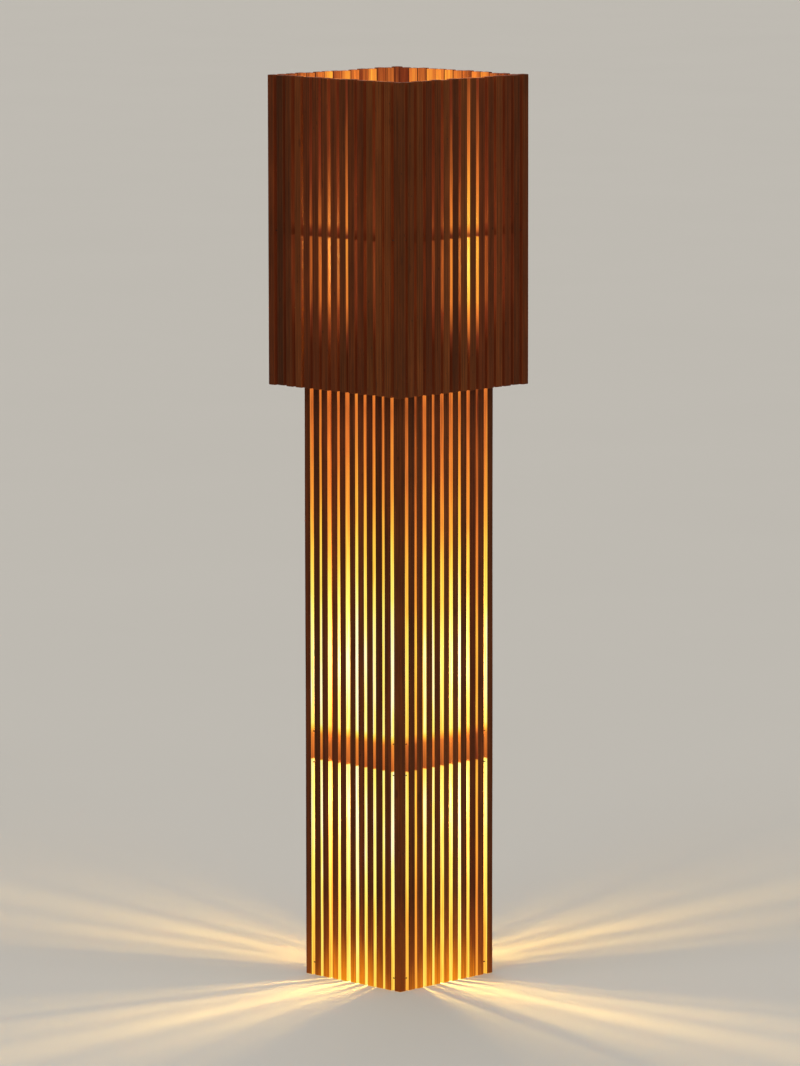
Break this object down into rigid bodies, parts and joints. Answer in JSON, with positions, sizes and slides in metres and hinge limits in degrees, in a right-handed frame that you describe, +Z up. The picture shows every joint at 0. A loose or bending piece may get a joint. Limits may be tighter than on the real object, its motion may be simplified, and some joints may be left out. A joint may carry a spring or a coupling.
{
  "type": "andon floor lamp",
  "caption": "Tall square floor lamp of slim stained timber slats, with a wider slatted shade round its upper part and warm bulbs hidden inside.",
  "frame": {"origin": "middle of the foot, on the floor", "axes": "+Z up the column; the sides face X and Y, and the corner between +X and -Y is the front one"},
  "size_m": [0.2794, 0.2794, 1.386],
  "materials": {
    "stained_sticks": "dark reddish-brown stain, matt",
    "plain_timber": "planed and unstained",
    "brad_steel": "bright, uncoated",
    "fixing_steel": "zinc plated",
    "lampholder_brass": "satin",
    "insulator": "matt glaze",
    "bulb_cap_metal": "satin",
    "bulb_housing": "smooth moulded",
    "bulb_opal": "opal, lit warm white",
    "terminal_plastic": "moulded",
    "flex_sheath": "satin sheath",
    "clip_plastic": "moulded"
  },
  "bodies": {
    "column": {"column_post_front": "stained_sticks", "base_block_front": "plain_timber", "column_post_right": "stained_sticks", "base_block_right": "plain_timber", "column_post_back": "stained_sticks", "base_block_back": "plain_timber", "column_post_left": "stained_sticks", "base_block_left": "plain_timber", "column_slats_front_left": "stained_sticks", "mid_rail_front_left": "plain_timber", "upper_rail_front_left": "plain_timber", "column_slats_front_right": "stained_sticks", "mid_rail_front_right": "plain_timber", "upper_rail_front_right": "plain_timber", "column_slats_back_right": "stained_sticks", "mid_rail_back_right": "plain_timber", "upper_rail_back_right": "plain_timber", "column_slats_back_left": "stained_sticks", "mid_rail_back_left": "plain_timber", "upper_rail_back_left": "plain_timber", "mid_crossbar": "plain_timber", "upper_crossbar": "plain_timber", "shade_cleats": "stained_sticks", "column_brads": "brad_steel", "lampholder_caps": "lampholder_brass", "lampholder_shells": "lampholder_brass", "lampholder_screw_shells": "lampholder_brass", "lampholder_contacts": "lampholder_brass", "lampholder_insulators": "insulator", "lamp_fixings": "fixing_steel", "terminal_block": "terminal_plastic", "flex": "flex_sheath", "cable_clips": "clip_plastic", "clip_brads": "brad_steel"},
    "shade": {"shade_post_front": "stained_sticks", "shade_post_right": "stained_sticks", "shade_post_back": "stained_sticks", "shade_post_left": "stained_sticks", "shade_slats_front_left": "stained_sticks", "shade_slats_front_right": "stained_sticks", "shade_slats_back_right": "stained_sticks", "shade_slats_back_left": "stained_sticks", "shade_rail_front_left": "plain_timber", "shade_rail_front_right": "plain_timber", "shade_rail_back_right": "plain_timber", "shade_rail_back_left": "plain_timber", "shade_brads": "brad_steel"},
    "bulb_upper": {"bulb_cap_upper": "bulb_cap_metal", "bulb_housing_upper": "bulb_housing", "bulb_tube_upper": "bulb_opal"},
    "bulb_middle": {"bulb_cap_middle": "bulb_cap_metal", "bulb_housing_middle": "bulb_housing", "bulb_tube_middle": "bulb_opal"},
    "bulb_lower": {"bulb_cap_lower": "bulb_cap_metal", "bulb_housing_lower": "bulb_housing", "bulb_tube_lower": "bulb_opal"}
  },
  "joints": [
    {"name": "shade_lift", "type": "slide", "parent": "column", "child": "shade", "axis": [0, 0, 1], "range_m": [0, 0.44]},
    {"name": "bulb_upper_turn", "type": "hinge", "parent": "column", "child": "bulb_upper", "pos_m": [0, 0, 1.057], "axis": [0, 0, 1], "range_deg": [0, 1080]},
    {"name": "bulb_middle_turn", "type": "hinge", "parent": "column", "child": "bulb_middle", "pos_m": [0, 0, 0.43], "axis": [0, 0, 1], "range_deg": [0, 1080]},
    {"name": "bulb_lower_turn", "type": "hinge", "parent": "column", "child": "bulb_lower", "pos_m": [0, 0, 0.3173], "axis": [0, 0, -1], "range_deg": [0, 1080]}
  ]
}
